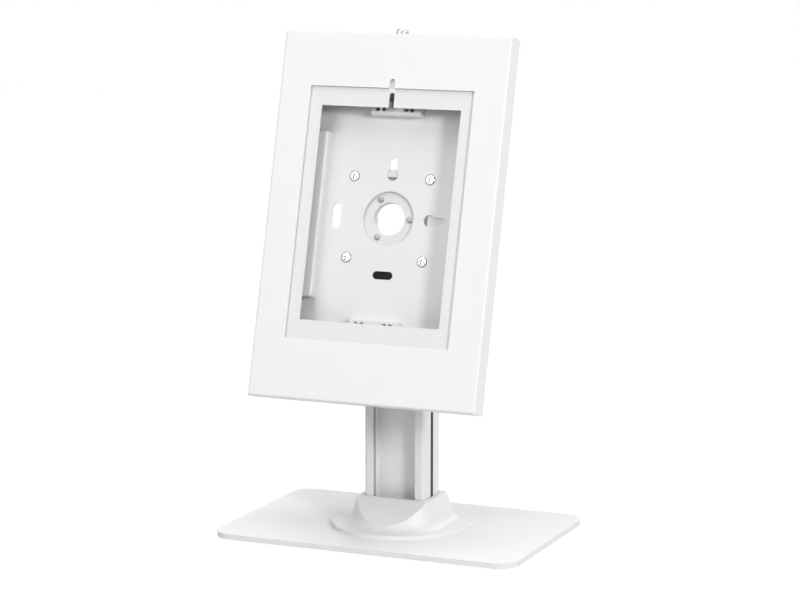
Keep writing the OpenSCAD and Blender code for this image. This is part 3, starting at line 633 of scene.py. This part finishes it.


# the mount screws' cross recesses are dark: painted shade
mountScrews = {"head": 4.55, "height": 1.8, "shank": 2, "length": 4.5, "tip": (0.3, 0.7), "pitch": 0.7,
               "steps": 40, "recess": "cross", "reach": 3.0, "wing": 0.75, "deep": 1.7, "dark": True,
               "depth": 22.5, "spread": 37.5, "turns": (12, 16, 9, 14)}
# thin black washers under the mount screws' heads: a painted shade ring round each head
mountShadeWashers = {"rim": 4.9, "bore": 2.3, "thick": 0.3, "steps": 40, "soft": 0.05}
hubScrews = {"head": 2.8, "height": 1.5, "shank": 1.5, "length": 7.5, "tip": (0.3, 0.7), "pitch": 0.5,
             "steps": 28, "recess": "cross", "reach": 1.7, "wing": 0.4, "deep": 1.2,
             "depth": 25.2, "circle": 20, "angles": (0, 120, 240), "turns": (20, 66, 41)}
yokeScrews = {"head": 4, "height": 3, "shank": 2.4, "length": 20, "tip": (0.3, 0.7), "pitch": 0.8,
              "steps": 28, "recess": "cross", "reach": 2.3, "wing": 0.5, "deep": 1.9,
              "seat": 254, "turns": (25, 70, 8, 50)}
baseScrews = {"head": 5.4, "height": 3, "face": [(0, 0), (0.6, 0), (0.97, 0.02), (1, 0.12)], "shank": 2.4,
              "length": 19, "tip": (0.3, 0.6), "pitch": 0.8, "steps": 32, "recess": "cross", "reach": 3.0,
              "wing": 0.6, "deep": 2.2, "seat": 1.5, "turns": (15, 62, 40, 80)}
ports = {"side": 25, "front": 12.8, "middle": 4.4}
corners = [(x, z) for x in sides for z in sides]


def washerShape(w):
    bore, rim, low = w["bore"], w["rim"], -w["thick"]
    return skin(circles([(bore, 0), (rim, 0), (rim, low), (bore, low)], w["steps"]), closed=True)


def makeMountScrews(s, w):
    places = [along(inCase(x * s["spread"], s["depth"], z * s["spread"]), -outward, turn)
              for (x, z), turn in zip(corners, s["turns"])]
    placePieces("mount_screws", crownedScrew(s, panCrown), places)
    # black washers stand in for the contact shade under the heads
    ridePiece("mount_shade_washers", copies(washerShape(w), places), "case",
              finishes["black_plastic"], w["soft"])


def makeHubScrews(s):
    places = []
    for angle, turn in zip(s["angles"], s["turns"]):
        a = math.radians(angle)
        place = inCase(s["circle"] * math.cos(a), s["depth"], s["circle"] * math.sin(a))
        places.append(along(place, -outward, turn))
    placePieces("hub_screws", crownedScrew(s, panCrown), places)


# a screw in each port of the column
def makePortScrews(node, shape, s, axis):
    p = ports
    placePieces(node, shape,
                [along(Vector((x * p["side"], p["middle"] + y * p["front"], s["seat"])) * mm, axis, turn)
                 for (x, y), turn in zip(corners, s["turns"])])


makeMountScrews(mountScrews, mountShadeWashers)
makeHubScrews(hubScrews)
makePortScrews("yoke_screws", crownedScrew(yokeScrews, panCrown), yokeScrews, -rise)
makePortScrews("base_screws", countersunkScrew(baseScrews), baseScrews, rise)
print("screws: mount, hub, yoke and base")


# tilt bolts with a hexagon socket

tiltBolts = {"head": 7, "height": 4, "shank": 4, "length": 12.9, "tip": (0.4, 0.8), "pitch": 1.25, "steps": 48,
             "recess": "hexagon", "reach": 3.4, "deep": 2.2, "seat": 39.4, "turns": (12, 41), "soft": 0.12}


def makeTiltBolts(s):
    placePieces("tilt_bolts", crownedScrew(s, boltCrown),
                [along(pivot + right * (side * s["seat"] * mm), right * -side, turn, side=rise)
                 for side, turn in zip(sides, s["turns"])], s["soft"])


makeTiltBolts(tiltBolts)


# nuts

nutForm = {"face": 0.97, "chamfer": 0.58, "mouth": 0.09, "mouthLeast": 0.1, "clear": 0.04}
tiltNuts = {"corner": 7.4, "height": 4, "bore": 4, "steps": 48, "inner": 27, "soft": 0.15}
insertNuts = {"corner": 3.15, "height": 2.4, "bore": 1.5, "steps": 36, "depth": 3.7,
              "places": [(87.85, 77.567), (40.3, 123.6)], "soft": 0.08}
lockNut = {"corner": 6.9, "height": 2.4, "bore": 5, "steps": 48, "below": 3.9, "soft": 0.1}


# hexagon nut with its corners chamfered and its thread's mouth countersunk
def nutShape(n, form):
    steps, h, flat = n["steps"], n["height"], n["corner"] * math.cos(math.pi / 6)
    wide, mouth = form["face"] * flat, form["mouth"] * n["bore"] + form["mouthLeast"]

    def edge(bottom):
        ring = []
        for i in range(steps):
            a = 2 * math.pi * i / steps
            r = flat / math.cos((a % (math.pi / 3)) - math.pi / 6)
            dip = form["chamfer"] * (r - wide)
            ring.append(Vector((r * math.cos(a), r * math.sin(a), dip if bottom else h - dip)))
        return ring

    bore = n["bore"] + form["clear"]
    low = circles([(bore, mouth), (bore + mouth, 0), (wide, 0)], steps)
    high = circles([(wide, h), (bore + mouth, h), (bore, h - mouth)], steps)
    return skin(low + [edge(True), edge(False)] + high, closed=True)


def makeNuts():
    n = tiltNuts
    placePieces("tilt_nuts", nutShape(n, nutForm),
                [along(pivot + right * (side * n["inner"] * mm), right * side, side=rise) for side in sides],
                n["soft"])
    n = insertNuts
    placePieces("insert_nuts", nutShape(n, nutForm),
                [along(inCase(x * sx, n["depth"], z * sz), -outward)
                 for x, z in n["places"] for sx in sides for sz in sides], n["soft"])
    n = lockNut
    placePieces("lock_nut", nutShape(n, nutForm),
                [along(inCase(0, lockPlace["depth"], lockPlace["top"] - n["below"]), up)], n["soft"])


makeNuts()
print("bolts and nuts: made")


# rubber feet with a ringed tread

rubberFeet = {"r": 11, "height": 1.5, "draft": 0.5, "edge": 0.15, "heel": [(0.05, 0.3), (-0.1, 0.08), (-0.35, 0)],
              "tread": (8.9, 6.6, 4.3, 2.0), "groove": 0.7, "deep": 0.4, "steps": 48, "across": 129, "along": 78}


def footShape(f):
    low, mouth, bottom = f["r"] - f["draft"], f["groove"] / 2, f["groove"] / 4
    profile = [(0, f["height"]), (f["r"] - f["edge"], f["height"]), (f["r"], f["height"] - f["edge"])]
    profile += [(low + out, z) for out, z in f["heel"]]
    for r in f["tread"]:
        profile += [(r + mouth, 0), (r + bottom, f["deep"]), (r - bottom, f["deep"]), (r - mouth, 0)]
    return skin(circles(profile + [(0, 0)], f["steps"]))


placePieces("rubber_feet", footShape(rubberFeet),
            [along(Vector((x * rubberFeet["across"], y * rubberFeet["along"], 0)) * mm, rise)
             for x, y in corners])


# lock: a domed barrel with a thread and a turned line, and the screw that holds the cam

lockBody = {"barrel": 5, "length": 13.8, "end": 0.3, "pitch": 1.0, "bore": 3.46, "mouth": [(0, 0.5), (0.3, 0.06)],
            "face": 4.4, "faceRound": 0.1, "rim": 6, "rimEdge": 0.15, "dome": 5.4, "domeSteps": 6,
            "line": 0.25, "lineHeights": (1.3, 1.2, 0.9, 0.8), "steps": 64, "soft": 0.06}
camScrew = {"head": 3.2, "flank": [(0, 0), (1, 0), (1, 0.35), (0.95, 0.7), (0.88, 1.05)],
            "crown": 2.6, "top": [(1, 0.93), (0.5, 1), (0, 1)], "height": 1.4, "steps": 32,
            "recess": "cross", "reach": 1.9, "wing": 0.42, "deep": 1.0, "below": 15.3, "turn": 25}


def lockShape(b):
    steps, rim, edge, half = b["steps"], b["rim"], b["rimEdge"], b["dome"] / 2
    profile = [(b["bore"], -b["length"])] + [(b["bore"] + out, b["dome"] - z) for out, z in b["mouth"]]
    profile.append((b["face"] - b["faceRound"], b["dome"]))
    for k in range(b["domeSteps"] + 1):
        a = math.pi / 2 * (1 - k / b["domeSteps"])
        profile.append((b["face"] + (rim - b["face"]) * math.cos(a), half + half * math.sin(a)))
    profile += zip((rim, rim - b["line"], rim - b["line"], rim), b["lineHeights"])
    profile += [(rim, edge), (rim - edge, 0), (b["barrel"] + seatGap, 0)]
    rows = threadRows(b["barrel"], b["pitch"], -seatGap - b["length"] + b["end"], -b["end"], steps)
    last = circle(b["barrel"] - b["end"], -b["length"], steps)
    return skin(circles(profile, steps) + rows[::-1] + [last], closed=True)


def camScrewShape(c):
    profile = [(a * c["head"], z) for a, z in c["flank"]]
    profile += [(a * c["crown"], b * c["height"]) for a, b in c["top"]]
    return recessed(skin(circles(profile, c["steps"])), c, c["height"], inward=-1)


placePieces("lock_body", lockShape(lockBody), [along(inCase(0, lockPlace["depth"], lockPlace["top"]), up)],
            lockBody["soft"])
placePieces("cam_screw", camScrewShape(camScrew),
            [along(inCase(0, lockPlace["depth"], lockPlace["top"] - camScrew["below"]), -up, camScrew["turn"])])
print("feet and lock: made")


# strips in the column's side slots, with a lip over the slot's edges

strips = {"slot": 4, "deep": 4.8, "lip": 5.4, "proud": 0.35, "seat": 0.02, "shoulder": 0.6, "shoulderIn": 0.05,
          "faceIn": 0.5, "side": 30, "middle": 4.4, "bottom": 6.5, "length": 230.5}


def stripShape(s):
    half, lip, shoulder = s["slot"] / 2, s["lip"] / 2, s["shoulder"] * s["proud"]
    outline = [(-s["deep"], half), (0, half), (s["seat"], lip), (shoulder, lip - s["shoulderIn"]),
               (s["proud"], lip - s["faceIn"])]
    mirrored = [(x, -y) for x, y in outline[::-1]]
    return tapered(mirrored[-1:] + outline + mirrored[:-1], 0, s["length"])


placePieces("groove_strips", stripShape(strips),
            [along(Vector((side * strips["side"], strips["middle"], strips["bottom"])) * mm, rise,
                   side=right * side) for side in sides])
print("strips: made")


# column: a clip groove behind each lip of the front channel

clipGroove = {"near": 20.8, "far": 22.3, "face": -14.9, "lip": 0.9, "deep": 6.6, "bottom": 5, "length": 245,
              "soft": 0.25}


def makeColumn(c):
    shape = bmesh.new()
    shape.from_mesh(nodes["column"].data)
    bmesh.ops.remove_doubles(shape, verts=shape.verts[:], dist=cadMesh["weld"] * mm)
    bmesh.ops.dissolve_limit(shape, angle_limit=math.radians(cadMesh["flat"]),
                             verts=shape.verts[:], edges=shape.edges[:])
    half = (c["far"] - c["near"]) / 2
    outline = rectangle(-half, c["face"] + c["lip"], half, c["face"] + c["deep"])
    tool = copies(tapered(outline, 0, c["length"]),
                  [upright(side * (c["near"] + half), 0, c["bottom"]) for side in sides])
    finishPiece("column", cutAway(shape, tool), c["soft"])


makeColumn(clipGroove)
print("column: grooved")


# supports: pressed pans with closed corners

supports = {
    "rise": 10, "sheet": 1.2, "bend": 2.4, "corner": 2.6, "bendSteps": 6, "floor": 22.5, "soft": 0.15,
    "bracket": {"wide": 50, "high": 14, "reach": 93.3},
    "side": {"wide": 14, "high": 154, "reach": 64},
    "slot": {"length": 4.2, "width": 3.6, "pitch": 28, "apart": 2.9, "towards": 1.6},
    "notch": 7.3, "over": 0.5,              # a tool reaches this far past both faces
}


def panShape(s, wide, high):
    sheet, bend = s["sheet"], s["bend"]

    def bent(inset, r):
        for i in range(s["bendSteps"] + 1):
            a = math.pi / 2 * i / s["bendSteps"]
            yield inset + r * (1 - math.cos(a)), s["rise"] - inset - r + r * math.sin(a)

    inner, outer = list(bent(sheet, bend - sheet)), list(bent(0, bend))
    profile = inner[::-1] + [(sheet, 0), (0, 0)] + outer
    return skin([roundedBox(wide, high, s["corner"], inset, z) for inset, z in profile], capped=True)


# the tools for a bracket's slots and its notch for the camera, towards one side
def panTools(s, side):
    slot, over = s["slot"], s["over"]
    tools = []
    for sx in sides:
        for apart in (-slot["apart"], slot["apart"]):
            place = (sx * slot["pitch"] / 2 + apart, -side * slot["towards"], s["rise"] - s["sheet"] - over)
            tools.append((tapered(obround(slot["length"], slot["width"]), 0, s["sheet"] + 2 * over), place))
    half, far = s["notch"] / 2, side * s["bracket"]["high"]
    tools.append((tapered(rectangle(-half, 0, half, far), 0, s["rise"] + 2 * over), (0, 0, -over)))
    return joined([(tool, Matrix.Translation(place)) for tool, place in tools])


def makeSupports(s):
    size = s["bracket"]
    for node, side in (("upper_support", 1), ("lower_support", -1)):
        shape = cutAway(panShape(s, size["wide"], size["high"]), panTools(s, side))
        height = side * (size["reach"] + size["high"] / 2)
        placePieces(node, shape, [along(inCase(0, s["floor"], height), outward)], s["soft"])
    size = s["side"]
    for node, side in (("left_support", -1), ("right_support", 1)):
        across = side * (size["reach"] + size["wide"] / 2)
        placePieces(node, panShape(s, size["wide"], size["high"]), [along(inCase(across, s["floor"], 0), outward)])


makeSupports(supports)
print("supports: made")


# collar: a drafted post cut by four planes, on a filleted foot and a flange

collar = {
    "base": 6.5, "middle": 4.4, "height": 28.5, "flange": 66, "flangeIn": 3, "rim": 2.6, "rimRound": 1.0,
    "rimRise": 0.4, "rimSlope": 0.3, "margin": 5.6, "wall": 2.2, "draft": 16, "faceSlope": 49, "foot": 6,
    "corner": 1.0, "columnHalf": (30, 19.3), "slip": 0.7, "pole": 4, "cornerSteps": 16, "edgeSteps": 6,
    "rimSteps": 5, "footSteps": 12, "postSteps": 24, "innerSteps": 12, "soft": 1.3, "segments": 3, "crease": 12,
}


# half sizes of the post at a height, and its radius: the planes at the sides have its draft
def collarSection(c, z, out):
    down = c["height"] - z
    side = down * math.tan(math.radians(c["draft"])) + out
    x, y = (half + c["margin"] for half in c["columnHalf"])
    return (x + side, y + down * math.tan(math.radians(c["faceSlope"])), math.hypot(x, y) - c["corner"] + side)


# a ring round that section, with points where the planes meet the round
def collarRing(c, section, z):
    x, y, r = section
    low = max(c["pole"], math.degrees(math.acos(min(1, x / r))))
    high = min(90 - c["pole"], math.degrees(math.asin(min(1, y / r))))
    ends = [(90 * k + low, 90 * k + high) if k % 2 == 0 else (90 * k + 90 - high, 90 * k + 90 - low)
            for k in range(5)]
    angles = []
    for k in range(4):
        first, last = ends[k]
        angles += [first + (last - first) * i / c["cornerSteps"] for i in range(c["cornerSteps"] + 1)]
        angles += [last + (ends[k + 1][0] - last) * i / c["edgeSteps"] for i in range(1, c["edgeSteps"])]
    ring = []
    for angle in angles:
        cosine, sine = math.cos(math.radians(angle)), math.sin(math.radians(angle))
        here = 1 / max(1 / r, abs(cosine) / x, abs(sine) / y)
        ring.append(Vector((here * cosine, here * sine, z)))
    return ring


# a circle's section: its planes lie clear of it
def roundSection(r):
    return (2 * r, 2 * r, r)


def quarter(i, steps):
    return math.pi / 2 * i / steps


def makeCollar(c):
    rimTop = c["rim"] + c["rimRound"]
    footStart = rimTop + c["rimRise"]
    postStart = footStart + c["foot"]
    inner = c["height"] - c["wall"]
    sections = [(roundSection(c["flange"]), z) for z in (0, c["rim"] / 2, c["rim"])]
    for i in range(1, c["rimSteps"] + 1):
        a = quarter(i, c["rimSteps"])
        sections.append((roundSection(c["flange"] - c["rimRound"] * (1 - math.cos(a))),
                         c["rim"] + c["rimRound"] * math.sin(a)))
    sections.append((roundSection(c["flange"] - c["flangeIn"]), rimTop + c["rimRise"] * c["rimSlope"]))
    for i in range(c["footSteps"] + 1):
        a = quarter(i, c["footSteps"])
        z = footStart + c["foot"] * (1 - math.cos(a))
        sections.append((collarSection(c, z, c["foot"] * (1 - math.sin(a))), z))
    for i in range(1, c["postSteps"] + 1):
        z = postStart + (c["height"] - postStart) * i / c["postSteps"]
        sections.append((collarSection(c, z, 0), z))
    x, y = (half + c["slip"] for half in c["columnHalf"])
    opening = (x, y, math.hypot(x, y) - c["slip"])
    sections += [(opening, c["height"]), (opening, inner)]
    for i in range(c["innerSteps"], -1, -1):
        z = inner * i / c["innerSteps"]
        sections.append((collarSection(c, z + c["wall"], -c["wall"]), z))
    bm = skin([collarRing(c, section, z) for section, z in sections], closed=True)
    bmesh.ops.transform(bm, matrix=upright(0, c["middle"], c["base"]), verts=bm.verts[:])
    return finishPiece("base_collar", bm, c["soft"], c["segments"], c["crease"])


makeCollar(collar)
print("collar: made")


# a fine round on the cut edges of sheets and plates

sheetEdges = {"front_cover": 0.25, "insert_frame": 0.25, "rear_tray": 0.25, "mount_plate": 0.3,
              "tilt_bracket": 0.35, "yoke": 0.35, "base_plate": 0.8, "cable_cover": 0.25, "column_cap": 0.4}


def softenNode(node, width):
    weld = node.modifiers.new("weld", "WELD")
    weld.merge_threshold = cadMesh["weld"] * mm
    flat = node.modifiers.new("flat_faces", "DECIMATE")
    flat.decimate_type = "DISSOLVE"
    flat.angle_limit = math.radians(cadMesh["flat"])
    softenEdges(node, width)


for name, width in sheetEdges.items():
    softenNode(nodes[name], width)
print("edges: softened")


# studio: places and sizes in metres, power in watts

studio = {
    "floor": 0.6, "floorSize": 8, "floorGlow": 0.92, "glow": 1.06,
    "world": 0.02,
    "lamps": {
        "key": {"place": (4.0, -2.8, 1.78), "size": 1, "power": 134},
        "top": {"place": (0.23, -1.33, 5.02), "size": 3.4, "power": 132},
        "left": {"place": (-2.25, -3.9, 2.6), "size": 3.0, "power": 76},
        "right": {"place": (4.28, 1.39, 2.6), "size": 3.0, "power": 40},
        "back": {"place": (0.5, 3.2, 3.4), "size": 3.0, "power": 90},
        "rear": {"place": (-3.9, 2.6, 1.3), "size": 2.0, "power": 22},
    },
}


def seenByEye(f):
    straight, glossy, through = (f.node("ShaderNodeLightPath", out=ray) for ray in
                                 ("Is Camera Ray", "Is Glossy Ray", "Is Transmission Ray"))
    return (straight + glossy + through).atMost(1)


def makeFloor(s):
    bpy.ops.mesh.primitive_plane_add(size=s["floorSize"], location=(0, 0, 0))
    floor = bpy.context.object
    floor.name = "studio_floor"
    f = Finish("studio_floor")
    plain = f.node("ShaderNodeBsdfDiffuse", None, {"Color": grey(s["floor"])})
    glow = f.node("ShaderNodeEmission", None, {"Color": grey(1), "Strength": s["glow"]})
    f.output(f.node("ShaderNodeMixShader", None, {0: seenByEye(f) * s["floorGlow"], 1: plain, 2: glow}))
    floor.data.materials.append(f.material)


def makeWorld(s):
    world = bpy.data.worlds.new("studio")
    bpy.context.scene.world = world
    world.use_nodes = True
    f = Finish("studio", world.node_tree)
    soft = f.node("ShaderNodeBackground", None, {"Color": grey(1), "Strength": s["world"]})
    white = f.node("ShaderNodeBackground", None, {"Color": grey(1), "Strength": 1})
    mixed = f.node("ShaderNodeMixShader", None, {0: seenByEye(f), 1: soft, 2: white})
    f.output(mixed, "ShaderNodeOutputWorld")


def makeLamp(name, lamp, target):
    data = bpy.data.lights.new(name, "AREA")
    data.shape = "SQUARE"
    data.size = lamp["size"]
    data.energy = lamp["power"]
    light = bpy.data.objects.new(name, data)
    bpy.context.scene.collection.objects.link(light)
    light.location = lamp["place"]
    light.rotation_euler = (target - light.location).to_track_quat("-Z", "Y").to_euler()


makeFloor(studio)
makeWorld(studio)
middle = (Vector(cadBox[0]) + Vector(cadBox[1])) / 2
for name, lamp in studio["lamps"].items():
    makeLamp(name, lamp, middle)
bpy.context.scene.view_settings.view_transform = "Standard"
print("studio: floor, world and %d lamps" % len(studio["lamps"]))
